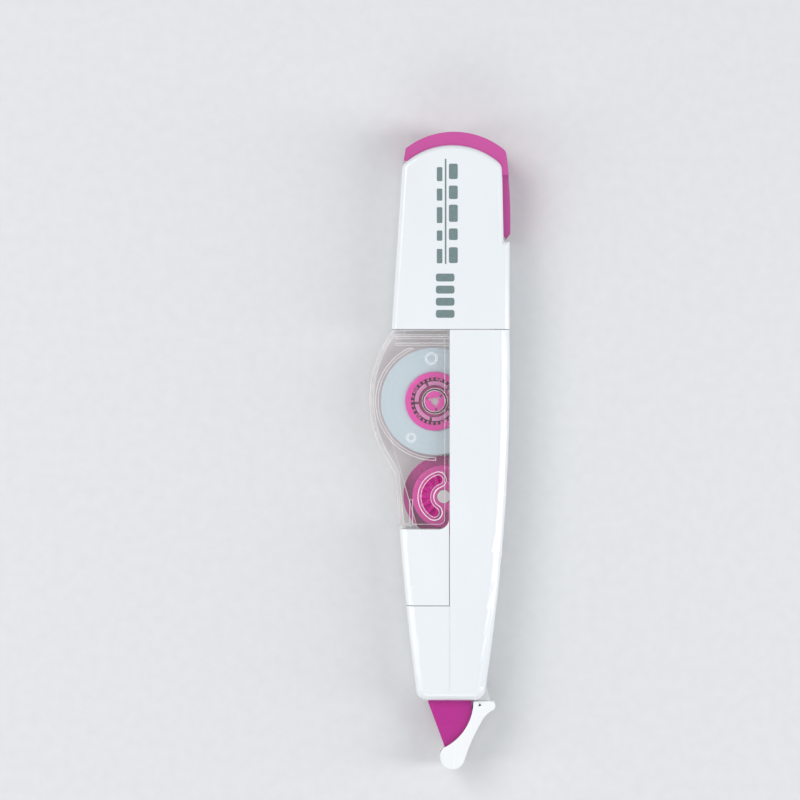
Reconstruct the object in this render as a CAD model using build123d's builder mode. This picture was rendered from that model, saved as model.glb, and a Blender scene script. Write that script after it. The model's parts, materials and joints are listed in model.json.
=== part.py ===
"""Refillable correction tape roller, lying on its flat back.

+Z is up, away from the back; +Y runs to the rear end; the tip points along -Y.
The origin is on the back face. Units are millimetres.
"""
import math
import os

from build123d import *

# ---------------------------------------------------------------- driving dimensions
THICK = 13.6                 # whole body, back face to front face
MID = THICK / 2              # parting plane of every two-part shell
WALL = 1.25                  # white mouldings
GAP = 0.15                   # between neighbouring mouldings
TAPE_W = 4.2                 # width of the correction tape

SEAM_Y = 26.2                # where the rear cover meets the grip
NOSE_Y = -53.6               # lower end of the grip
RIDGE_X = -0.4               # faint ridge along the front, and the bay's edge
BAY_BOTTOM = -33.2           # lower end of the open bay for the refill
WINDOW_BOTTOM = -16.7        # lower edge of the clear window
WINDOW_CORNER_R = 2.1        # its rounded lower corner, which the finger panel fills
WINDOW_EDGE_R = 0.5

SUPPLY = (-3.6, 10.85)       # reel centres
TAKEUP = (-1.65, -9.75)
MODULE = 0.6                 # gear train
SUPPLY_TEETH, IDLER_TEETH, TAKEUP_TEETH = 36, 12, 15
GEAR_Z0, GEAR_Z1 = 2.5, 3.9

TAPE_Z0 = MID - TAPE_W / 2
TAPE_Z1 = MID + TAPE_W / 2
FLANGE = 0.4                 # reel flange thickness
ROLL_R = 11.2                # full roll of tape
SUPPLY_CORE_R = 6.5
SUPPLY_FLANGE_R = 11.65
TAKEUP_CORE_R = 4.6
TAKEUP_WOUND_R = 4.85
REEL_POST_R = 1.4            # fixed posts that the reels turn on
IDLER_POST_R = 1.2
RUNNING = 0.06               # radial clearance of a running fit

ROLLER = (-0.1, -64.4)       # tip roller
ROLLER_R = 1.3
AXLE_R = 0.5
CAP_PIVOT = (5.95, -50.3)    # hinge of the tip cap
CAP_PIN_R = 0.5
CAP_SWEEP_R = 17.0           # the cap's tip wall stays outside this, so it clears the roller

CART_BASE = 5.4              # half thickness of the refill under the grip's walls
CART_FACE = 6.5              # half thickness at its clear window
CART_WALL = 0.9
HEAD_HALF = 3.15             # half width of the head guard
HEAD_PLATE = 0.9
HOOD_HALF = 4.2              # half width of the tip cap's hood
HOOD_WALL = 0.8

EDGE_R = 2.2                 # long edges of the grip and rear cover
PANEL_WALL = 1.1
TAPE_GUIDE = (-5.5, -26.0)   # fixed posts that steer the two runs of tape
RETURN_GUIDE = (2.2, -36.0)
GUIDE_R = 0.8
TAPE_GAP = 0.06              # the runs of tape stand this far off moving parts


# ---------------------------------------------------------------- outlines
def grip_outline():
    """The white grip seen from the front, from its lower end to the rear seam."""
    with BuildSketch(mode=Mode.PRIVATE) as sketch:
        with BuildLine():
            left = ThreePointArc((-7.35, NOSE_Y), (-11.43, -13.7), (-12.9, SEAM_Y))
            right = ThreePointArc((6.95, NOSE_Y), (11.49, -13.7), (12.5, SEAM_Y))
            Line(left @ 0, right @ 0)
            Line(left @ 1, right @ 1)
        make_face()
        fillet(sketch.vertices().group_by(Axis.Y)[0], radius=2.5)
    return sketch.sketch


def rear_outline():
    """The white rear cover from the seam to its domed end."""
    with BuildSketch(mode=Mode.PRIVATE) as sketch:
        with BuildLine():
            foot = Line((-12.9, SEAM_Y + GAP), (12.5, SEAM_Y + GAP))
            left = Line(foot @ 0, (-10.6, 61.6))
            dome = ThreePointArc(left @ 1, (0.4, 65.95), (10.85, 61.6))
            Line(dome @ 1, (11.2, 45.2))
            Line((11.2, 45.2), (12.5, 45.2))
            Line((12.5, 45.2), foot @ 1)
        make_face()
        corners = sketch.vertices().filter_by(lambda v: 61 < v.Y < 62)
        fillet(corners, radius=2.4)
    return sketch.sketch


def end_cap_outline():
    """The coloured end cap with its side rail, before the rear cover is taken out."""
    with BuildSketch(mode=Mode.PRIVATE) as sketch:
        with BuildLine():
            left = Line((-10.3, 62.6), (-9.9, 65.2))
            dome = ThreePointArc(left @ 1, (0.3, 68.8), (11.7, 64.6))
            rail = ThreePointArc(dome @ 1, (12.55, 56.0), (12.7, 46.9))
            Line(rail @ 1, (11.9, 45.9))
            Line((11.9, 45.9), (11.3, 46.4))
            Line((11.3, 46.4), (9.0, 60.0))
            Line((9.0, 60.0), left @ 0)
        make_face()
        fillet(sketch.vertices().sort_by_distance((11.7, 64.6))[0], radius=1.8)
        fillet(sketch.vertices().sort_by_distance((12.7, 46.9))[0], radius=0.6)
    return sketch.sketch


def cartridge_outline():
    """The refill's case: bulged reel chamber and the neck that enters the grip."""
    with BuildSketch(mode=Mode.PRIVATE) as sketch:
        with BuildLine():
            bulge = ThreePointArc((-12.75, SEAM_Y - GAP), (-17.7, 11.0), (-13.6, -2.3))
            Polyline(bulge @ 1, (-12.2, -4.9), (-11.1, WINDOW_BOTTOM + GAP),
                     (-9.75, WINDOW_BOTTOM + GAP), (-8.4, -33.0), (-5.9, -37.0), (-5.9, -44.0),
                     (4.4, -44.0), (4.4, -33.0), (7.6, -22.0), (8.9, -8.0), (9.3, 4.0),
                     (9.3, SEAM_Y - GAP), bulge @ 0)
        make_face()
    return sketch.sketch


def window_outline():
    """The raised clear window that fills the bay in the grip's face."""
    with BuildSketch(mode=Mode.PRIVATE) as sketch:
        add(cartridge_outline())
        with Locations((RIDGE_X - GAP, WINDOW_BOTTOM + GAP)):
            Rectangle(20, SEAM_Y - WINDOW_BOTTOM, align=(Align.MAX, Align.MIN), mode=Mode.INTERSECT)
        corner = sketch.vertices().sort_by_distance((RIDGE_X, WINDOW_BOTTOM))[0]
        fillet(corner, radius=WINDOW_CORNER_R)
    return sketch.sketch


def panel_outline(inset=0.0):
    """The white finger panel below the window, or the room inside it, inset from the left."""
    with BuildSketch(mode=Mode.PRIVATE) as sketch:
        with Locations((inset, 0)):
            add(grip_outline())
        with Locations((RIDGE_X - GAP, BAY_BOTTOM + GAP)):
            Rectangle(20, WINDOW_BOTTOM - BAY_BOTTOM - GAP, align=(Align.MAX, Align.MIN),
                      mode=Mode.INTERSECT)
        reach = WINDOW_CORNER_R + GAP
        with Locations((RIDGE_X - GAP, WINDOW_BOTTOM)):
            Rectangle(reach, reach, align=(Align.MAX, Align.MIN))
        with Locations((RIDGE_X - GAP - reach, WINDOW_BOTTOM + reach)):
            Circle(reach, mode=Mode.SUBTRACT)
    return sketch.sketch


def head_outline():
    """One cheek of the head guard, from its stem to the round end at the roller."""
    with BuildSketch(mode=Mode.PRIVATE) as sketch:
        with BuildLine():
            Polyline((-3.4, -37), (-3.4, -45), (-5.0, -48), (-5.0, -54.2), (-1.1, -64.7),
                     (0.9, -64.7), (2.0, -63.0), (3.7, -59.6), (4.4, -57.0), (4.4, -48),
                     (2.4, -45), (2.4, -37), (-3.4, -37))
        make_face()
        with Locations(ROLLER):
            Circle(1.02)
    return sketch.sketch


def hood_outline():
    """The tip cap's hood: from its elbow beside the grip to the bulb round the tip."""
    with BuildSketch(mode=Mode.PRIVATE) as sketch:
        with BuildLine():
            inner = ThreePointArc((4.75, -53.9), (3.3, -59.3), (-1.6, -63.9))
            bulb = ThreePointArc(inner @ 1, (-1.15, -68.1), (2.9, -66.2))
            shank = ThreePointArc(bulb @ 1, (4.4, -62.3), (6.3, -58.6))
            elbow = ThreePointArc(shank @ 1, (7.5, -56.8), (9.1, -55.7))
            corner = ThreePointArc(elbow @ 1, (9.45, -54.9), (9.0, -53.9))
            Line(corner @ 1, inner @ 0)
        make_face()
    return sketch.sketch


# ---------------------------------------------------------------- gears and tape path
def turned(centre, radius, angle):
    """The point at a radius and an angle in radians about a centre."""
    return (centre[0] + radius * math.cos(angle), centre[1] + radius * math.sin(angle))


def heading(start, end):
    """The angle of the line from one centre to another, and its length."""
    dx, dy = end[0] - start[0], end[1] - start[1]
    return math.atan2(dy, dx), math.hypot(dx, dy)


def idler_centre():
    """The idler stands right of the line between the reels, in mesh with both."""
    from_supply = MODULE * (SUPPLY_TEETH + IDLER_TEETH) / 2
    from_takeup = MODULE * (TAKEUP_TEETH + IDLER_TEETH) / 2
    angle, span = heading(SUPPLY, TAKEUP)
    swing = math.acos((from_supply**2 + span**2 - from_takeup**2) / (2 * from_supply * span))
    return turned(SUPPLY, from_supply, angle + swing)


IDLER = idler_centre()


def gear_outline(centre, teeth, phase):
    """A stub-toothed involute gear; its flanks are short flats. A tooth stands at phase."""
    pressure = math.radians(20)
    pitch_r = MODULE * teeth / 2
    base_r = pitch_r * math.cos(pressure)
    outer_r = pitch_r + 0.8 * MODULE
    root_r = pitch_r - 1.1 * MODULE
    backlash = 0.06
    half_tooth = math.pi / (2 * teeth) - backlash / pitch_r + math.tan(pressure) - pressure
    low_r = max(base_r, root_r)
    flank = [root_r] + [low_r + (outer_r - low_r) * k / 4 for k in range(1 if low_r == root_r else 0, 5)]
    corners = []
    for tooth in range(teeth):
        middle = phase + 2 * math.pi * tooth / teeth
        rising = []
        for r in flank:
            roll = math.acos(min(1.0, base_r / max(r, base_r)))
            rising.append((r, half_tooth - (math.tan(roll) - roll)))
        corners += [turned(centre, r, middle - half) for r, half in rising]
        corners += [turned(centre, r, middle + half) for r, half in reversed(rising)]
    with BuildSketch(mode=Mode.PRIVATE) as sketch:
        with BuildLine():
            Polyline(*corners, close=True)
        make_face()
    return sketch.sketch


def gear_phases():
    """Tooth angles that put the idler in mesh with both reels' gears."""
    to_idler, _ = heading(SUPPLY, IDLER)
    idler = to_idler + math.pi + math.pi / IDLER_TEETH
    to_takeup, _ = heading(IDLER, TAKEUP)
    lead = idler - to_takeup
    takeup = to_takeup + math.pi - lead * IDLER_TEETH / TAKEUP_TEETH + math.pi / TAKEUP_TEETH
    return to_idler, idler, takeup


LEFT, RIGHT = 1, -1          # which side of the travelling tape a drum stands on


def web_outline(drums, thick, end_angle=None):
    """A taut strip past drums, each (centre, radius, side); it may end wrapped on the last."""
    mid = [(c, r + thick / 2, s) for c, r, s in drums]
    runs = []
    for (ca, ra, sa), (cb, rb, sb) in zip(mid, mid[1:]):
        phi, span = heading(ca, cb)
        runs.append(phi - math.asin((sb * rb - sa * ra) / span))

    def edge_chain(shift):
        """One edge of the strip, shift to the left of its middle, as points and arcs."""
        chain = []
        for i, (centre, radius, side) in enumerate(mid):
            r = radius - side * shift
            enter = runs[max(i - 1, 0)] - side * math.pi / 2
            leave = runs[i] - side * math.pi / 2 if i < len(runs) else end_angle
            if i == 0:
                chain.append([turned(centre, r, leave)])
            elif leave is None:
                chain.append([turned(centre, r, enter)])
            else:
                sweep = side * ((side * (leave - enter)) % (2 * math.pi))
                chain.append([turned(centre, r, enter + sweep * k / 2) for k in range(3)])
        return chain

    near, far = edge_chain(thick / 2), edge_chain(-thick / 2)
    with BuildSketch(mode=Mode.PRIVATE) as sketch:
        with BuildLine():
            for chain in (near, far):
                for stop in chain:
                    if len(stop) == 3:
                        ThreePointArc(*stop)
                for here, there in zip(chain, chain[1:]):
                    Line(here[-1], there[0])
            Line(near[0][0], far[0][0])
            Line(near[-1][-1], far[-1][-1])
        make_face()
    return sketch.sketch


# ---------------------------------------------------------------- part helpers
def keep(part, name):
    """Labels a finished piece and writes its STEP."""
    part.label = name
    export_step(part, f"parts/{name}.step")


def disc_stack(centre, steps):
    """Coaxial rings, each (inner radius, outer radius, z0, z1), joined into one piece."""
    with BuildPart() as stack:
        for inner, outer, z0, z1 in steps:
            with BuildSketch(Plane.XY.offset(z0)):
                with Locations(centre):
                    Circle(outer)
                    if inner:
                        Circle(inner, mode=Mode.SUBTRACT)
            extrude(amount=z1 - z0)
    return stack.part


def prism(outline, z0, z1):
    """An outline raised from z0 to z1."""
    with BuildPart() as block:
        with BuildSketch(Plane.XY.offset(z0)):
            add(outline)
        extrude(amount=z1 - z0)
    return block.part


def brick(x0, x1, y0, y1, z0, z1):
    """A box by its limits, to be added or cut inside a part."""
    low, size = (min(x0, x1), min(y0, y1), min(z0, z1)), (abs(x1 - x0), abs(y1 - y0), abs(z1 - z0))
    return Pos(*low) * Box(*size, align=(Align.MIN,) * 3, mode=Mode.PRIVATE)


os.makedirs("parts", exist_ok=True)


# ---------------------------------------------------------------- the white grip
CAVITY_TOP = THICK - WALL
SLOT_TOP = 9.3               # the cap's lever works below this, down to its mirror
SPINE_TOP = 11.4             # the tongue that guides the rear cover
PIN_SPOTS = [(6.3, -38.0), (-6.6, -48.3), (10.85, 4.0)]   # pegs that join the two halves
PIN_R = 0.6
BOSS_R = 1.25
TONGUE_X = 9.65              # inner face of the guide tongue


def case_half():
    """Front half of the grip: face, side walls, guide tongue, bosses, cap slot."""
    with BuildPart() as half:
        with BuildSketch(Plane.XY.offset(MID)):
            add(grip_outline())
        extrude(amount=MID)
        rim = half.faces().sort_by(Axis.Z)[-1].edges().sort_by(Axis.Y)[:-1]
        fillet(rim, radius=EDGE_R)
        with BuildSketch(Plane.XY.offset(MID)):
            add(grip_outline())
            offset(amount=-WALL)
            with Locations((RIDGE_X - 0.4, SEAM_Y)):
                Rectangle(12.0, 8, align=(Align.MIN, Align.CENTER))
        extrude(amount=CAVITY_TOP - MID, mode=Mode.SUBTRACT)
        add(brick(-20, RIDGE_X, BAY_BOTTOM, SEAM_Y + 1, MID, THICK + 1), mode=Mode.SUBTRACT)
        for y in (-22.0, -9.0, 16.0):
            with BuildSketch(Plane.XY.offset(MID)):
                with Locations((11.5, y)):
                    Rectangle(4.0, 1.0)
                add(grip_outline(), mode=Mode.INTERSECT)
            extrude(amount=CAVITY_TOP - MID)
        add(brick(TONGUE_X, 11.6, 14.0, SEAM_Y, MID, SPINE_TOP))
        add(brick(TONGUE_X, 11.1, SEAM_Y, 43.0, MID, SPINE_TOP))
        with BuildSketch(Plane.XY.offset(MID)):
            with Locations(*PIN_SPOTS):
                Circle(BOSS_R)
            add(grip_outline(), mode=Mode.INTERSECT)
        extrude(amount=CAVITY_TOP - MID)
        with BuildSketch(Plane.XY.offset(SLOT_TOP)):
            with Locations(CAP_PIVOT):
                Circle(1.3)
        extrude(amount=CAVITY_TOP - SLOT_TOP)
        with BuildSketch(Plane.XY.offset(SLOT_TOP)):
            with Locations(CAP_PIVOT):
                Circle(CAP_PIN_R)
        extrude(amount=2.0, mode=Mode.SUBTRACT)
        add(brick(-5.4, 5.0, NOSE_Y - 1, NOSE_Y + WALL + 0.5, MID, 10.4), mode=Mode.SUBTRACT)
        add(brick(4.2, 10, NOSE_Y - 1, -47.0, MID, SLOT_TOP), mode=Mode.SUBTRACT)
    return half.part


with BuildPart() as front_case:
    add(case_half())
    add(brick(RIDGE_X - 0.07, RIDGE_X + 0.07, NOSE_Y + EDGE_R, BAY_BOTTOM, THICK - 0.08, THICK),
        mode=Mode.SUBTRACT)
    with BuildSketch(Plane.XY.offset(MID)):
        with Locations(*PIN_SPOTS):
            Circle(PIN_R)
    extrude(amount=-2.0)
keep(front_case.part, "front_case")

with BuildPart() as back_case:
    add(mirror(case_half(), about=Plane.XY.offset(MID)))
    with BuildSketch(Plane.XY.offset(MID)):
        with Locations(*PIN_SPOTS):
            Circle(PIN_R)
    extrude(amount=-2.2, mode=Mode.SUBTRACT)
keep(back_case.part, "back_case")

with BuildPart() as cap_pivot_pin:
    add(disc_stack(CAP_PIVOT, [(0, CAP_PIN_R, MID - (SLOT_TOP - MID) - 2, SLOT_TOP + 2)]))
    chamfer(cap_pivot_pin.edges().filter_by(GeomType.CIRCLE), length=0.12)
keep(cap_pivot_pin.part, "cap_pivot_pin")


# ---------------------------------------------------------------- rear cover and end cap
COVER_WALL = 1.3
COVER_EDGE_R = 1.2
PEG = (1.0, 64.0)            # the end cap's peg enters the domed end here
PEG_R = 1.4

with BuildPart() as rear_cover:
    with BuildSketch():
        add(rear_outline())
    extrude(amount=THICK)
    for side in (0, -1):
        rim = rear_cover.faces().sort_by(Axis.Z)[side].edges().sort_by(Axis.Y)[1:]
        fillet(rim, radius=COVER_EDGE_R)
    with BuildSketch(Plane.XY.offset(COVER_WALL)):
        add(rear_outline())
        offset(amount=-COVER_WALL)
        with Locations((0, SEAM_Y)):
            Rectangle(22.7, 6)
    extrude(amount=THICK - 2 * COVER_WALL, mode=Mode.SUBTRACT)
    with Locations(Location((PEG[0], PEG[1], MID), (-90, 0, 0))):
        Cylinder(PEG_R + 0.1, 6, mode=Mode.SUBTRACT)
keep(rear_cover.part, "rear_cover")

with BuildPart() as end_cap:
    with BuildSketch(Plane.XY.offset(1.0)):
        add(end_cap_outline())
    extrude(amount=THICK - 2.0)
    for z in (0.0, 10.4):
        add(brick(5, 14, 40, 59.5, z, z + 3.2), mode=Mode.SUBTRACT)
    with BuildSketch():
        add(rear_outline())
    extrude(amount=THICK, mode=Mode.SUBTRACT)
    with Locations(Location((PEG[0], PEG[1] + 0.4, MID), (-90, 0, 0))):
        Cylinder(PEG_R, 5)
keep(end_cap.part, "end_cap")


# ---------------------------------------------------------------- refill case
BASE_TOP = MID + CART_BASE
FACE_TOP = MID + CART_FACE
ROOM_TOP = FACE_TOP - CART_WALL
ROOM_BOTTOM = THICK - ROOM_TOP
TONGUE_Y = 30.0              # the refill reaches this far into the rear cover
HEAD_TOP = MID + HEAD_HALF
POST_TOP = 10.3


def cartridge_half():
    """Front half of the clear case: stepped face, side walls, tongue, pad for the head."""
    with BuildPart() as half:
        add(prism(cartridge_outline(), MID, BASE_TOP))
        add(prism(window_outline(), MID, FACE_TOP))
        rim = half.faces().filter_by(Axis.Z).sort_by(Axis.Z)[-1].edges()
        fillet(rim.sort_by(Axis.Y)[:-1], radius=WINDOW_EDGE_R)
        add(brick(-11.0, 9.0, SEAM_Y - 1, TONGUE_Y, MID, 11.9))
        with BuildSketch(Plane.XY.offset(MID)):
            add(cartridge_outline())
            offset(amount=-CART_WALL, kind=Kind.INTERSECTION)
            with Locations((-5.0, -40.0), (-5.0, -46.0)):
                Rectangle(8.5, 8.0, align=(Align.MIN, Align.MIN))
        extrude(amount=BASE_TOP - CART_WALL - MID, mode=Mode.SUBTRACT)
        with BuildSketch(Plane.XY.offset(MID)):
            add(window_outline())
            offset(amount=-CART_WALL, kind=Kind.INTERSECTION)
        extrude(amount=ROOM_TOP - MID, mode=Mode.SUBTRACT)
        add(brick(-10.1, 8.1, SEAM_Y - 2, TONGUE_Y - CART_WALL, MID, 11.0), mode=Mode.SUBTRACT)
        add(brick(-3.0, 2.0, -43.0, -37.0, HEAD_TOP, BASE_TOP - 0.5))
    return half.part


def kidney(inner, outer):
    """A curved slot round the take-up reel's centre, on its left."""
    first, last = math.radians(108), math.radians(238)
    middle = (first + last) / 2
    with BuildSketch(mode=Mode.PRIVATE) as sketch:
        with BuildLine():
            near = ThreePointArc(*[turned(TAKEUP, inner, a) for a in (first, middle, last)])
            far = ThreePointArc(*[turned(TAKEUP, outer, a) for a in (first, middle, last)])
            width = (outer - inner) / 2
            for spot, a, turn in ((0, first, -1), (1, last, 1)):
                centre = turned(TAKEUP, inner + width, a)
                ThreePointArc(near @ spot, turned(centre, width, a + turn * math.pi / 2), far @ spot)
        make_face()
    return sketch.sketch


KIDNEY_IN, KIDNEY_OUT, KIDNEY_RIM = 2.9, 4.9, 0.7
MARK_HIGH = 0.15             # raised marks and rims on the clear face

with BuildPart() as cartridge_front:
    add(cartridge_half())
    add(prism(kidney(KIDNEY_IN - KIDNEY_RIM, KIDNEY_OUT + KIDNEY_RIM),
              ROOM_TOP - 0.9, FACE_TOP + MARK_HIGH))
    add(prism(kidney(KIDNEY_IN, KIDNEY_OUT), 0, THICK + 1), mode=Mode.SUBTRACT)
    add(disc_stack(SUPPLY, [(2.3, 2.75, 9.9, ROOM_TOP)]))
    add(brick(-9.0, -8.4, -15.9, -10.3, ROOM_TOP - 1.5, ROOM_TOP))
    for y in (22.9, 24.3):
        add(brick(-12.0, RIDGE_X - GAP, y, y + 0.45, ROOM_TOP - 1.6, ROOM_TOP))
    with BuildSketch(Plane.XY.offset(ROOM_TOP - 2.4)):
        with Locations(SUPPLY):
            Circle(12.75)
            Circle(12.2, mode=Mode.SUBTRACT)
        with Locations((RIDGE_X - 3, SEAM_Y - 4)):
            Rectangle(20, 28, align=(Align.MAX, Align.MAX), mode=Mode.INTERSECT)
    extrude(amount=2.4)
    for spot, size in (((-4.4, 20.0), 1.3), ((-8.7, 3.0), 1.0)):
        add(disc_stack(spot, [(size - 0.3, size, FACE_TOP, FACE_TOP + MARK_HIGH)]))
keep(cartridge_front.part, "cartridge_front")

with BuildPart() as cartridge_back:
    add(mirror(cartridge_half(), about=Plane.XY.offset(MID)))
    for centre in (SUPPLY, TAKEUP):
        add(disc_stack(centre, [(0, REEL_POST_R, ROOM_BOTTOM - 0.2, POST_TOP),
                                (0, 2.6, ROOM_BOTTOM - 0.2, 2.4)]))
    add(brick(RIDGE_X - GAP, 12, -30, SEAM_Y - 4, 0, THICK - BASE_TOP), mode=Mode.SUBTRACT)
    add(disc_stack(IDLER, [(0, IDLER_POST_R, 1.8, 4.05), (0, 2.0, 1.8, 2.4)]))
    for centre in (TAPE_GUIDE, RETURN_GUIDE):
        add(disc_stack(centre, [(0, GUIDE_R, 1.8, 9.4), (0, 0.95, 1.8, 4.4)]))
keep(cartridge_back.part, "cartridge_back")


# ---------------------------------------------------------------- finger panels
def panel_half():
    """Front finger panel: a face plate that wraps round the left side of the neck."""
    with BuildPart() as half:
        with BuildSketch(Plane.XY.offset(MID + 0.05)):
            add(panel_outline())
        extrude(amount=THICK - 0.15 - MID - 0.05)
        left = half.faces().sort_by(Axis.Z)[-1].edges().sort_by(Axis.X)[0]
        fillet(left, radius=EDGE_R)
        with BuildSketch(Plane.XY.offset(MID)):
            add(panel_outline(inset=PANEL_WALL))
        extrude(amount=BASE_TOP - MID, mode=Mode.SUBTRACT)
    return half.part


with BuildPart() as neck_panel_front:
    add(panel_half())
keep(neck_panel_front.part, "neck_panel_front")

with BuildPart() as neck_panel_back:
    add(mirror(panel_half(), about=Plane.XY.offset(MID)))
keep(neck_panel_back.part, "neck_panel_back")


# ---------------------------------------------------------------- head and roller
def head_half():
    """Front half of the head guard: a cheek plate and half of the spine between the tapes."""
    with BuildPart() as half:
        add(prism(head_outline(), HEAD_TOP - HEAD_PLATE, HEAD_TOP))
        with BuildSketch(Plane.XY.offset(MID)):
            with BuildLine():
                Polyline((-2.6, -37), (-2.6, -44), (-1.0, -60), (0.8, -60), (1.6, -44), (1.6, -37),
                         (-2.6, -37))
            make_face()
        extrude(amount=HEAD_TOP - HEAD_PLATE - MID)
        with BuildSketch(Plane.XY.offset(MID)):
            with Locations(ROLLER):
                Circle(AXLE_R)
        extrude(amount=HEAD_HALF, mode=Mode.SUBTRACT)
    return half.part


with BuildPart() as head_front:
    add(head_half())
keep(head_front.part, "head_front")

with BuildPart() as head_back:
    add(mirror(head_half(), about=Plane.XY.offset(MID)))
keep(head_back.part, "head_back")

with BuildPart() as roller_axle:
    add(disc_stack(ROLLER, [(0, AXLE_R, THICK - HEAD_TOP, HEAD_TOP)]))
keep(roller_axle.part, "roller_axle")

with BuildPart() as tip_roller:
    add(disc_stack(ROLLER, [(AXLE_R + RUNNING, ROLLER_R, 4.65, 8.95)]))
    ends = tip_roller.edges().filter_by(GeomType.CIRCLE).filter_by(lambda e: e.radius > 1)
    chamfer(ends, length=0.15)
keep(tip_roller.part, "tip_roller")


# ---------------------------------------------------------------- supply reel
SPIN_BORE = REEL_POST_R + RUNNING
CORE_BORE = 5.15
RATCHET_TEETH = 30
DRUM_R = 3.4                 # the gear's drum, which the clutch spring grips
HUB_POST_R = 2.2             # the gear's hub, inside the drum
SPRING_R = 4.35
LIGHTEN_R, LIGHTEN_AT = 1.7, 7.2     # lightening holes through the gear's web
PLATE_Z = TAPE_Z0 - 0.1 - FLANGE     # underside of the back flanges
RIM_Z = TAPE_Z1 + 0.1                # underside of the front flanges

with BuildPart() as supply_core:
    add(disc_stack(SUPPLY, [(CORE_BORE, 6.35, PLATE_Z, 9.9),
                            (CORE_BORE, SUPPLY_CORE_R, PLATE_Z + FLANGE, RIM_Z)]))
    with BuildSketch(Plane.XY.offset(6.8)):
        with Locations(SUPPLY):
            with PolarLocations(4.9, RATCHET_TEETH):
                Rectangle(0.7, 0.5)
    extrude(amount=2.6)
keep(supply_core.part, "supply_core")

for label, z in (("supply_flange_front", RIM_Z), ("supply_flange_back", PLATE_Z)):
    with BuildPart() as supply_flange:
        add(disc_stack(SUPPLY, [(6.35, SUPPLY_FLANGE_R, z, z + FLANGE)]))
        circles = supply_flange.edges().filter_by(GeomType.CIRCLE)
        chamfer(circles.sort_by(SortBy.RADIUS)[-2:], length=0.1)
    keep(supply_flange.part, label)

with BuildPart() as tape_roll:
    add(disc_stack(SUPPLY, [(SUPPLY_CORE_R, ROLL_R, TAPE_Z0, TAPE_Z1)]))
keep(tape_roll.part, "tape_roll")

supply_phase, idler_phase, takeup_phase = gear_phases()

with BuildPart() as supply_gear:
    add(prism(gear_outline(SUPPLY, SUPPLY_TEETH, supply_phase), GEAR_Z0, GEAR_Z1))
    add(disc_stack(SUPPLY, [(0, HUB_POST_R, GEAR_Z0, 11.1), (0, DRUM_R, GEAR_Z1, 7.5)]))
    with BuildSketch(Plane.XY.offset(GEAR_Z1)):
        with Locations(SUPPLY):
            Circle(DRUM_R - 0.6)
            Circle(HUB_POST_R, mode=Mode.SUBTRACT)
    extrude(amount=4, mode=Mode.SUBTRACT)
    with BuildSketch():
        with Locations(SUPPLY):
            Circle(SPIN_BORE)
    extrude(amount=10.4, mode=Mode.SUBTRACT)
    with BuildSketch():
        with Locations(SUPPLY):
            Circle(0.8)
            with PolarLocations(LIGHTEN_AT, 6):
                Circle(LIGHTEN_R)
    extrude(amount=THICK, mode=Mode.SUBTRACT)
    with BuildSketch(Plane.XY.offset(9.9)):
        with Locations(SUPPLY):
            with PolarLocations(1.6, 3, start_angle=40):
                Rectangle(1.8, 0.4)
    extrude(amount=1.5, mode=Mode.SUBTRACT)
keep(supply_gear.part, "supply_gear")

with BuildPart() as clutch_spring:
    add(disc_stack(SUPPLY, [(DRUM_R + 0.05, SPRING_R, 6.8, 9.4)]))
    with BuildSketch(Plane.XY.offset(7.2)):
        with Locations(SUPPLY):
            with PolarLocations(4.7, 5, start_angle=6):
                Rectangle(1.0, 0.4)
            Circle(CORE_BORE, mode=Mode.INTERSECT)
    extrude(amount=1.8)
    with BuildSketch(Plane.XY.offset(7.6)):
        with Locations(SUPPLY):
            with PolarLocations(3.9, 5, start_angle=42):
                Rectangle(1.2, 0.5)
    extrude(amount=2, mode=Mode.SUBTRACT)
keep(clutch_spring.part, "clutch_spring")


# ---------------------------------------------------------------- take-up reel and idler
TAKEUP_BACK_R, TAKEUP_FRONT_R = 8.7, 6.75
TAKEUP_DRUM_R, TAKEUP_HUB_R = 3.5, 2.4

with BuildPart() as takeup_reel:
    add(disc_stack(TAKEUP, [(TAKEUP_DRUM_R, TAKEUP_CORE_R, PLATE_Z, 9.5),
                            (TAKEUP_CORE_R, TAKEUP_BACK_R, PLATE_Z, 4.55),
                            (TAKEUP_DRUM_R, TAKEUP_FRONT_R, RIM_Z, 9.5),
                            (TAKEUP_HUB_R, TAKEUP_DRUM_R, PLATE_Z, 9.9),
                            (SPIN_BORE, TAKEUP_HUB_R, 5.0, 9.9)]))
    with BuildSketch(Plane.XY.offset(9.5)):
        with Locations(TAKEUP):
            with PolarLocations(4.1, 16):
                Rectangle(2.7, 0.5)
    extrude(amount=0.8)
keep(takeup_reel.part, "takeup_reel")

with BuildPart() as takeup_gear:
    add(prism(gear_outline(TAKEUP, TAKEUP_TEETH, takeup_phase), GEAR_Z0, GEAR_Z1))
    add(disc_stack(TAKEUP, [(0, TAKEUP_HUB_R, GEAR_Z1, 5.0), (0, 3.2, GEAR_Z1, PLATE_Z)]))
    with BuildSketch():
        with Locations(TAKEUP):
            Circle(SPIN_BORE)
    extrude(amount=THICK, mode=Mode.SUBTRACT)
keep(takeup_gear.part, "takeup_gear")

with BuildPart() as takeup_winding:
    add(disc_stack(TAKEUP, [(TAKEUP_CORE_R, TAKEUP_WOUND_R, TAPE_Z0, TAPE_Z1)]))
keep(takeup_winding.part, "takeup_winding")

with BuildPart() as idler_gear:
    add(prism(gear_outline(IDLER, IDLER_TEETH, idler_phase), GEAR_Z0, GEAR_Z1))
    with BuildSketch():
        with Locations(IDLER):
            Circle(IDLER_POST_R + RUNNING)
    extrude(amount=THICK, mode=Mode.SUBTRACT)
keep(idler_gear.part, "idler_gear")


# ---------------------------------------------------------------- the runs of tape
OUT_THICK, BACK_THICK = 0.15, 0.12   # coated tape going out, bare film coming back

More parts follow.
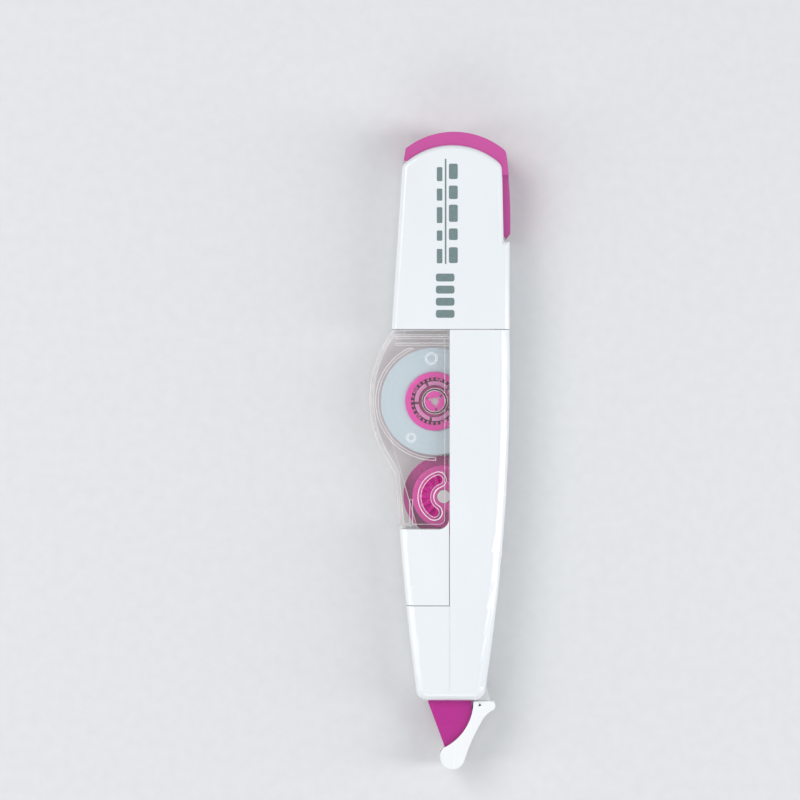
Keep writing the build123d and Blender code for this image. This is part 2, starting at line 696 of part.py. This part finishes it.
out_drums = [(SUPPLY, ROLL_R + TAPE_GAP, LEFT), (TAPE_GUIDE, GUIDE_R, RIGHT),
             (ROLLER, ROLLER_R + TAPE_GAP, LEFT)]
back_drums = [(ROLLER, ROLLER_R + TAPE_GAP, LEFT), (RETURN_GUIDE, GUIDE_R, LEFT),
              (TAKEUP, TAKEUP_WOUND_R + TAPE_GAP, LEFT)]

with BuildPart() as tape_run_out:
    add(prism(web_outline(out_drums, OUT_THICK, end_angle=math.radians(-90)), TAPE_Z0, TAPE_Z1))
keep(tape_run_out.part, "tape_run_out")

with BuildPart() as tape_run_back:
    add(prism(web_outline(back_drums, BACK_THICK), TAPE_Z0, TAPE_Z1))
keep(tape_run_back.part, "tape_run_back")


# ---------------------------------------------------------------- tip cap
CAP_BORE = CAP_PIN_R + RUNNING
HUB_R = 1.5

with BuildPart() as tip_cap:
    add(prism(hood_outline(), MID - HOOD_HALF, MID + HOOD_HALF))
    with BuildSketch(Plane.XY.offset(MID - HOOD_HALF + HOOD_WALL)):
        with Locations((-1.0, 0)):
            add(hood_outline())
        with Locations((-6, -62)):
            Rectangle(14, 13)
        add(hood_outline(), mode=Mode.INTERSECT)
        with Locations((0.0, -62)):
            Rectangle(24, 13.4, mode=Mode.INTERSECT)
        with Locations(CAP_PIVOT):
            Circle(CAP_SWEEP_R, mode=Mode.INTERSECT)
    extrude(amount=2 * (HOOD_HALF - HOOD_WALL), mode=Mode.SUBTRACT)
    with BuildSketch(Plane.XY.offset(4.6)):
        with Locations(CAP_PIVOT):
            Circle(HUB_R)
        with BuildLine():
            Polyline((4.75, -51.1), (5.2, -55.4), (8.9, -55.4), (7.3, -49.7), (4.75, -51.1))
        make_face()
        with Locations(CAP_PIVOT):
            Circle(CAP_BORE, mode=Mode.SUBTRACT)
    extrude(amount=9.0 - 4.6)
    with BuildSketch():
        with BuildLine():
            Polyline((5.75, -55.0), (6.45, -54.8), (6.1, -54.2), (5.75, -55.0))
        make_face()
    extrude(amount=THICK, mode=Mode.SUBTRACT)
keep(tip_cap.part, "tip_cap")
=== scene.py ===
"""Materials, small details, light and camera for the correction tape roller."""

import json
import math

import bmesh
import bpy
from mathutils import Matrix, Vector


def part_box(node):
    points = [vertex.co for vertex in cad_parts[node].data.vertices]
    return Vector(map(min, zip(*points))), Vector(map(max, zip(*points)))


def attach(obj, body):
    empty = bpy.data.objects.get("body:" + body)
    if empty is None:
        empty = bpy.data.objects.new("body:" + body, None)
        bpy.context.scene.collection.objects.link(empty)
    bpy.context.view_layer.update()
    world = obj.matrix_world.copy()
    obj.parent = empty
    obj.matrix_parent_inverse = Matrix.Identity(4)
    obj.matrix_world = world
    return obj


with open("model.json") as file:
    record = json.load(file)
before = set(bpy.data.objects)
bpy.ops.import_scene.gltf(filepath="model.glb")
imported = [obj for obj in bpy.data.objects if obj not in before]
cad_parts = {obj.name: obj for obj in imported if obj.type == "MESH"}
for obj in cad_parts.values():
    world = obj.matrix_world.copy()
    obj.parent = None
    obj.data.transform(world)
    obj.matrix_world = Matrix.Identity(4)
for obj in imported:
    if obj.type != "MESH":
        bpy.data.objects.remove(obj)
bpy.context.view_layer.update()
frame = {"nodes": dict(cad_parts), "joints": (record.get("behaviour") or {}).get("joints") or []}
nodes = frame["nodes"]
MM = 0.001
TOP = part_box("front_case")[1].z
MID = TOP / 2


def hinge_centre(joint):
    """A hinge's centre, in metres."""
    return next(j["pos_m"] for j in frame["joints"] if j["name"] == joint)


SUPPLY = hinge_centre("supply_spin")
TAKEUP = hinge_centre("takeup_spin")

# Clear plastic.
EDGE_LINE = 0.22 * MM        # half width of the painted highlight lines along its edges
GRAZING = 0.55               # facing value where the painted sheen starts to whiten it

# Soft edges of the CAD pieces.
MOULDED_EDGE, FINE_EDGE = 0.12 * MM, 0.06 * MM
WELD_GAP = 0.002 * MM
SHARP_ANGLE = math.radians(32)

# Printed marks.
INK_PROUD, INK_THICK = 0.015 * MM, 0.03 * MM

# Camera straight above the front face, with a long lens.
LENS = 135
VIEW_MIDDLE = (-11.1 * MM, 11.1 * MM)
VIEW_WIDTH = 0.1736


# ---------------------------------------------------------------- node helpers
class Look:
    """A Principled material whose colour, roughness and bump come from nodes."""

    def __init__(self, name, colour, rough, **sockets):
        self.mat = bpy.data.materials.new(name)
        self.mat.use_nodes = True
        self.tree = self.mat.node_tree
        self.shader = self.tree.nodes["Principled BSDF"]
        self.shader.inputs["Base Color"].default_value = (*colour, 1)
        self.shader.inputs["Roughness"].default_value = rough
        for key, value in sockets.items():
            self.shader.inputs[key.replace("_", " ")].default_value = value
        self.place = self.add("ShaderNodeTexCoord").outputs["Object"]
        self.normal = None

    def add(self, kind, **settings):
        node = self.tree.nodes.new(kind)
        for key, value in settings.items():
            setattr(node, key, value)
        return node

    def feed(self, socket, value):
        """Links a socket or sets a plain value."""
        if isinstance(value, bpy.types.NodeSocket):
            self.tree.links.new(value, socket)
        else:
            socket.default_value = value

    def math(self, operation, a, b=0.0):
        node = self.add("ShaderNodeMath", operation=operation)
        self.feed(node.inputs[0], a)
        self.feed(node.inputs[1], b)
        return node.outputs[0]

    def mapped(self, scale):
        """Object coordinates, scaled along each axis."""
        node = self.add("ShaderNodeMapping", vector_type="TEXTURE")
        self.feed(node.inputs["Vector"], self.place)
        node.inputs["Scale"].default_value = [1 / s for s in scale]
        return node.outputs["Vector"]

    def noise(self, scale, detail=3.0, stretch=(1, 1, 1), rough=0.5):
        node = self.add("ShaderNodeTexNoise")
        self.feed(node.inputs["Vector"], self.mapped(stretch))
        node.inputs["Scale"].default_value = scale
        node.inputs["Detail"].default_value = detail
        node.inputs["Roughness"].default_value = rough
        return node.outputs["Fac"]

    def spread(self, fac, low, high, start=0.3, end=0.7):
        """A factor stretched from start..end to low..high."""
        node = self.add("ShaderNodeMapRange")
        self.feed(node.inputs["Value"], fac)
        for key, value in zip(("From Min", "From Max", "To Min", "To Max"), (start, end, low, high)):
            node.inputs[key].default_value = value
        return node.outputs["Result"]

    def mix(self, fac, a, b):
        node = self.add("ShaderNodeMix", data_type="RGBA")
        self.feed(node.inputs["Factor"], fac)
        for socket, value in ((node.inputs[6], a), (node.inputs[7], b)):
            self.feed(socket, value if isinstance(value, bpy.types.NodeSocket) else (*value, 1))
        return node.outputs[2]

    def radius(self, centre):
        """Distance from a Z axis through a centre."""
        split = self.add("ShaderNodeSeparateXYZ")
        self.feed(split.inputs[0], self.place)
        dx = self.math("SUBTRACT", split.outputs[0], centre[0])
        dy = self.math("SUBTRACT", split.outputs[1], centre[1])
        squares = self.math("ADD", self.math("MULTIPLY", dx, dx), self.math("MULTIPLY", dy, dy))
        return self.math("SQRT", squares)

    def rings(self, centre, pitch, detail=2.0):
        """Noise that changes only with the distance from a centre."""
        node = self.add("ShaderNodeTexNoise", noise_dimensions="1D")
        self.feed(node.inputs["W"], self.math("MULTIPLY", self.radius(centre), 1 / pitch))
        node.inputs["Scale"].default_value = 1.0
        node.inputs["Detail"].default_value = detail
        return node.outputs["Fac"]

    def bump(self, height, distance):
        """Adds relief on top of any already there."""
        node = self.add("ShaderNodeBump")
        node.inputs["Strength"].default_value = 1.0
        node.inputs["Distance"].default_value = distance
        self.feed(node.inputs["Height"], height)
        if self.normal is not None:
            self.feed(node.inputs["Normal"], self.normal)
        self.normal = node.outputs["Normal"]
        self.feed(self.shader.inputs["Normal"], self.normal)

    def set_colour(self, value):
        self.feed(self.shader.inputs["Base Color"], value)

    def set_rough(self, value):
        self.feed(self.shader.inputs["Roughness"], value)


def darker(colour, share):
    return tuple(c * share for c in colour)


def moulded(name, colour, rough=0.25, shade=0.965, grain=0.02, **sockets):
    """Moulded plastic: faint flow clouds, polish that varies, orange peel of a depth in
    millimetres, and hairlines."""
    look = Look(name, colour, rough, **sockets)
    clouds = look.noise(70, 4.0, stretch=(1, 0.45, 1))
    look.set_colour(look.mix(look.spread(clouds, 0, 1), colour, darker(colour, shade)))
    hairlines = look.noise(900, 2.0, stretch=(1, 0.03, 1), rough=0.7)
    smears = look.noise(160, 5.0, stretch=(1, 0.6, 1))
    polish = look.math("ADD", look.spread(smears, rough * 0.8, rough * 1.25),
                       look.spread(hairlines, 0, 0.06, 0.6, 0.8))
    look.set_rough(polish)
    look.bump(look.noise(650, 2.0), grain * MM)
    look.bump(hairlines, 0.004 * MM)
    return look


def clear(name, tint, face, edge, line, glow, rough=0.05):
    """Clear moulded plastic: see-through faces, whitened at grazing angles by painted sheen, and
    painted highlight lines along edges.

    The glow is painted light: an even emission standing for the light that clear plastic pipes to
    its edges, lifting the case out of its shade."""
    look = Look(name, tint, rough, IOR=1.6, Coat_Weight=0.6, Coat_Roughness=0.03,
                Emission_Color=(*tint, 1), Emission_Strength=glow)
    flow = look.noise(120, 2.0, stretch=(1, 0.35, 1))
    look.set_rough(look.spread(look.noise(300, 3.0), rough * 0.5, rough * 1.6))
    look.set_colour(look.mix(look.spread(flow, 0, 1), tint, darker(tint, 0.94)))
    # Opacity rises at grazing angles and near edges, so the whitish tint shows there as painted
    # sheen and painted highlight lines.
    turning = look.add("ShaderNodeLayerWeight")
    turning.inputs["Blend"].default_value = 0.5
    painted_sheen = look.spread(turning.outputs["Facing"], face, edge, GRAZING, 1.0)
    rounded = look.add("ShaderNodeBevel", samples=6)
    rounded.inputs["Radius"].default_value = EDGE_LINE
    flat = look.add("ShaderNodeNewGeometry")
    agree = look.add("ShaderNodeVectorMath", operation="DOT_PRODUCT")
    look.feed(agree.inputs[0], rounded.outputs["Normal"])
    look.feed(agree.inputs[1], flat.outputs["True Normal"])
    lines = look.spread(agree.outputs["Value"], line, 0.0, 0.80, 0.995)
    look.feed(look.shader.inputs["Alpha"], look.math("MAXIMUM", painted_sheen, lines))
    look.bump(flow, 0.04 * MM)
    return look


def paint(node, look, edge):
    """Gives a CAD node its material and soft edges of a width in metres."""
    piece = nodes[node]
    piece.data.materials.clear()
    piece.data.materials.append(look.mat)
    piece.data.polygons.foreach_set("use_smooth", [True] * len(piece.data.polygons))
    weld = piece.modifiers.new("weld", "WELD")
    weld.merge_threshold = WELD_GAP
    bevel = piece.modifiers.new("soft_edges", "BEVEL")
    bevel.width = edge
    bevel.segments = 2
    bevel.limit_method = "ANGLE"
    bevel.angle_limit = SHARP_ANGLE
    bevel.use_clamp_overlap = True
    normals = piece.modifiers.new("flat_faces", "WEIGHTED_NORMAL")
    normals.weight = 70


# ---------------------------------------------------------------- materials
WHITE = (0.80, 0.825, 0.85)
MAGENTA = (0.46, 0.025, 0.26)
DEEP = (0.62, 0.018, 0.30)
BAND = (0.58, 0.085, 0.34)

white_grip = moulded("white_grip", WHITE, 0.2, Coat_Weight=0.35, Coat_Roughness=0.06)
white_back = moulded("white_back", WHITE, 0.24, Coat_Weight=0.25, Coat_Roughness=0.1)
white_cover = moulded("white_cover", WHITE, 0.18, Coat_Weight=0.4, Coat_Roughness=0.05)
white_panel = moulded("white_panel", WHITE, 0.22, Coat_Weight=0.3, Coat_Roughness=0.08)
white_cap = moulded("white_cap", (0.86, 0.87, 0.88), 0.22, Coat_Weight=0.3, Coat_Roughness=0.08)
magenta_band = moulded("magenta_band", BAND, 0.22, shade=0.9, Coat_Weight=0.4, Coat_Roughness=0.06)
magenta_head = moulded("magenta_head", MAGENTA, 0.3, shade=0.88, grain=0.03)
magenta_reel = moulded("magenta_reel", DEEP, 0.28, shade=0.85, Coat_Weight=0.2)
magenta_hub = moulded("magenta_hub", (0.72, 0.035, 0.36), 0.25, shade=0.85, Coat_Weight=0.2)
pink_clutch = moulded("pink_clutch", (0.66, 0.22, 0.46), 0.3, shade=0.85)
natural_gear = moulded("natural_gear", (0.62, 0.64, 0.65), 0.4, shade=0.9)
roller_rubber = moulded("roller_rubber", (0.4, 0.02, 0.2), 0.5, shade=0.85, grain=0.04)

# The last values, 0.26 and 0.11, are painted glow; clear_back is also pale and half opaque, a
# painted light ground behind the shaded reel chamber.
clear_front = clear("clear_front", (0.93, 0.93, 0.94), 0.035, 0.55, 0.8, 0.26)
clear_back = clear("clear_back", (0.92, 0.89, 0.89), 0.5, 0.65, 0.6, 0.11)


def disc_look(name, centre, tint, solid):
    """Translucent flange, grey-blue as painted shade over the white tape seen through it inside the
    case, with turned rings that fade outward.
    """
    look = Look(name, tint, 0.25, Alpha=solid, Coat_Weight=0.3)
    rings = look.rings(centre, 1 / 2600)
    look.set_colour(look.mix(look.spread(rings, 0, 1), tint, darker(tint, 0.9)))
    look.set_rough(look.spread(rings, 0.18, 0.34))
    look.bump(rings, 0.01 * MM)
    return look


# The grey-blue tint and high opacity are painted shade: the flanges are clear and the tape behind
# them is white.
flange_front = disc_look("flange_front", SUPPLY, (0.60, 0.70, 0.75), 0.85)
flange_back = disc_look("flange_back", SUPPLY, (0.60, 0.70, 0.75), 0.75)


def wound_look(name, centre, colour, dark, pitch):
    """The edge of a wound roll: rings of many turns, some standing a little proud."""
    look = Look(name, colour, 0.6)
    turns = look.rings(centre, pitch, detail=4.0)
    look.set_colour(look.mix(look.spread(turns, 0, 1), colour, dark))
    look.set_rough(look.spread(turns, 0.5, 0.75))
    look.bump(turns, 0.04 * MM)
    return look


# The grey-blue is partly the tape's grey film layers and partly painted shade of the case interior
# over its white coat.
tape_roll = wound_look("tape_roll", SUPPLY, (0.6, 0.68, 0.72), (0.48, 0.56, 0.61), 0.0002)
spent_film = wound_look("spent_film", TAKEUP, (0.5, 0.5, 0.45), (0.38, 0.38, 0.34), 0.0002)


def web_look(name, colour, rough, **sockets):
    """A run of tape: faint chatter across it, let through by thin film."""
    look = Look(name, colour, rough, **sockets)
    bars = look.noise(500, 2.0, stretch=(0.1, 1, 0.1))
    look.set_colour(look.mix(look.spread(bars, 0, 1), colour, darker(colour, 0.93)))
    look.set_rough(look.spread(bars, rough * 0.85, rough * 1.15))
    look.bump(bars, 0.02 * MM)
    return look


tape_out = web_look("tape_out", (0.80, 0.80, 0.79), 0.7, Alpha=0.65)
tape_back = web_look("tape_back", (0.55, 0.56, 0.52), 0.3, Alpha=0.6)


def steel_look(name):
    """Drawn steel wire: fine lines along it and a little uneven polish."""
    look = Look(name, (0.6, 0.61, 0.63), 0.25, Metallic=1.0)
    lines = look.noise(2500, 3.0, stretch=(1, 1, 0.02))
    look.set_colour(look.mix(look.spread(lines, 0, 1), (0.62, 0.63, 0.65), (0.45, 0.46, 0.48)))
    look.set_rough(look.spread(lines, 0.18, 0.4))
    look.bump(lines, 0.01 * MM)
    return look


steel = steel_look("drawn_steel")

FINE = {"clutch_spring", "supply_flange_front", "supply_flange_back", "takeup_winding",
        "tape_run_out", "tape_run_back", "roller_axle", "cap_pivot_pin", "idler_gear",
        "takeup_gear", "supply_gear"}
for node, look in {
    "front_case": white_grip, "back_case": white_back, "rear_cover": white_cover,
    "neck_panel_front": white_panel, "neck_panel_back": white_back, "tip_cap": white_cap,
    "end_cap": magenta_band, "head_front": magenta_head, "head_back": magenta_head,
    "tip_roller": roller_rubber, "takeup_reel": magenta_reel, "takeup_gear": magenta_reel,
    "supply_core": magenta_hub, "supply_gear": magenta_hub, "clutch_spring": pink_clutch,
    "idler_gear": natural_gear, "cartridge_front": clear_front, "cartridge_back": clear_back,
    "supply_flange_front": flange_front, "supply_flange_back": flange_back,
    "tape_roll": tape_roll, "takeup_winding": spent_film, "tape_run_out": tape_out,
    "tape_run_back": tape_back, "roller_axle": steel, "cap_pivot_pin": steel,
}.items():
    paint(node, look, FINE_EDGE if node in FINE else MOULDED_EDGE)


# ---------------------------------------------------------------- printed marks
def rounded_bar(bm, x, y, width, length, z, radius=0.22):
    """A flat bar with round corners, by its middle, in millimetres."""
    corners = []
    for sx, sy, start in ((1, 1, 0), (-1, 1, 90), (-1, -1, 180), (1, -1, 270)):
        for k in range(5):
            a = math.radians(start + 22.5 * k)
            corners.append(((x + sx * (width / 2 - radius) + radius * math.cos(a)) * MM,
                            (y + sy * (length / 2 - radius) + radius * math.sin(a)) * MM, z))
    bm.faces.new([bm.verts.new(c) for c in corners])


def cover_print():
    """Plain grey print along the rear cover: a rule, a block pattern and dashes."""
    mesh = bpy.data.meshes.new("cover_print")
    bm = bmesh.new()
    z = TOP + INK_PROUD
    for k in range(4):
        rounded_bar(bm, -1.4, 29.6 + 2.6 * k, 4.0, 1.7, z, 0.5)
    rounded_bar(bm, -1.3, 51.6, 0.34, 22.6, z, 0.12)
    for k, length in enumerate((3.1, 2.2, 3.4, 2.6, 3.0)):
        rounded_bar(bm, -2.6, 42.0 + 4.4 * k, 1.2, length, z)
        rounded_bar(bm, 0.35, 42.2 + 4.5 * k, 1.9, length + 0.3, z, 0.35)
    made = bmesh.ops.extrude_face_region(bm, geom=bm.faces[:])
    lower = [v for v in made["geom"] if isinstance(v, bmesh.types.BMVert)]
    bmesh.ops.translate(bm, verts=lower, vec=(0, 0, -INK_THICK))
    bmesh.ops.recalc_face_normals(bm, faces=bm.faces[:])
    bm.to_mesh(mesh)
    bm.free()
    piece = bpy.data.objects.new("cover_print", mesh)
    bpy.context.scene.collection.objects.link(piece)
    look = Look("grey_ink", (0.16, 0.23, 0.23), 0.45)
    screen = look.noise(2600, 2.0)
    look.set_colour(look.mix(look.spread(screen, 0, 1), (0.17, 0.245, 0.245), (0.14, 0.20, 0.20)))
    look.set_rough(look.spread(screen, 0.35, 0.55))
    look.bump(screen, 0.005 * MM)
    mesh.materials.append(look.mat)
    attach(piece, "rear_cover")


cover_print()


# ---------------------------------------------------------------- floor, light, camera
def backdrop():
    """A plain pale floor, faintly mottled like paper."""
    mesh = bpy.data.meshes.new("floor")
    bm = bmesh.new()
    bmesh.ops.create_grid(bm, x_segments=4, y_segments=4, size=1.5)
    bm.to_mesh(mesh)
    bm.free()
    floor = bpy.data.objects.new("floor", mesh)
    floor.location.z = -0.05 * MM
    bpy.context.scene.collection.objects.link(floor)
    look = Look("paper_floor", (0.7, 0.7, 0.7), 0.8)
    fibres = look.noise(400, 6.0)
    look.set_colour(look.mix(look.spread(fibres, 0, 1), (0.70, 0.705, 0.71), (0.675, 0.68, 0.685)))
    look.bump(fibres, 0.02 * MM)
    mesh.materials.append(look.mat)


backdrop()


def softbox(name, at, size, power, colour=(1, 1, 1)):
    """An area light that faces the reel chamber."""
    data = bpy.data.lights.new(name, "AREA")
    data.shape = "RECTANGLE"
    data.size, data.size_y = size
    data.energy = power
    data.color = colour
    lamp = bpy.data.objects.new(name, data)
    lamp.location = at
    lamp.rotation_euler = (Vector((0, 0, MID)) - Vector(at)).to_track_quat("-Z", "Y").to_euler()
    bpy.context.scene.collection.objects.link(lamp)


softbox("key", (-0.45, 0.35, 0.75), (0.5, 0.5), 3.4)
softbox("side", (0.6, -0.05, 0.35), (0.2, 0.9), 3.2, (0.97, 0.99, 1.0))
softbox("low", (-0.1, -0.7, 0.5), (0.7, 0.3), 1.3)
softbox("back", (-0.55, -0.1, 0.25), (0.15, 0.7), 1.1)

world = bpy.data.worlds.new("studio")
world.use_nodes = True
world.node_tree.nodes["Background"].inputs["Color"].default_value = (0.93, 0.96, 1.0, 1)
world.node_tree.nodes["Background"].inputs["Strength"].default_value = 0.42
bpy.context.scene.world = world

camera_data = bpy.data.cameras.new("camera")
camera_data.lens = LENS
camera = bpy.data.objects.new("camera", camera_data)
camera.location = (*VIEW_MIDDLE, MID + VIEW_WIDTH * LENS / camera_data.sensor_width)
camera_data.clip_start = 0.01
bpy.context.scene.collection.objects.link(camera)
bpy.context.scene.camera = camera
bpy.context.scene.view_settings.view_transform = "Standard"
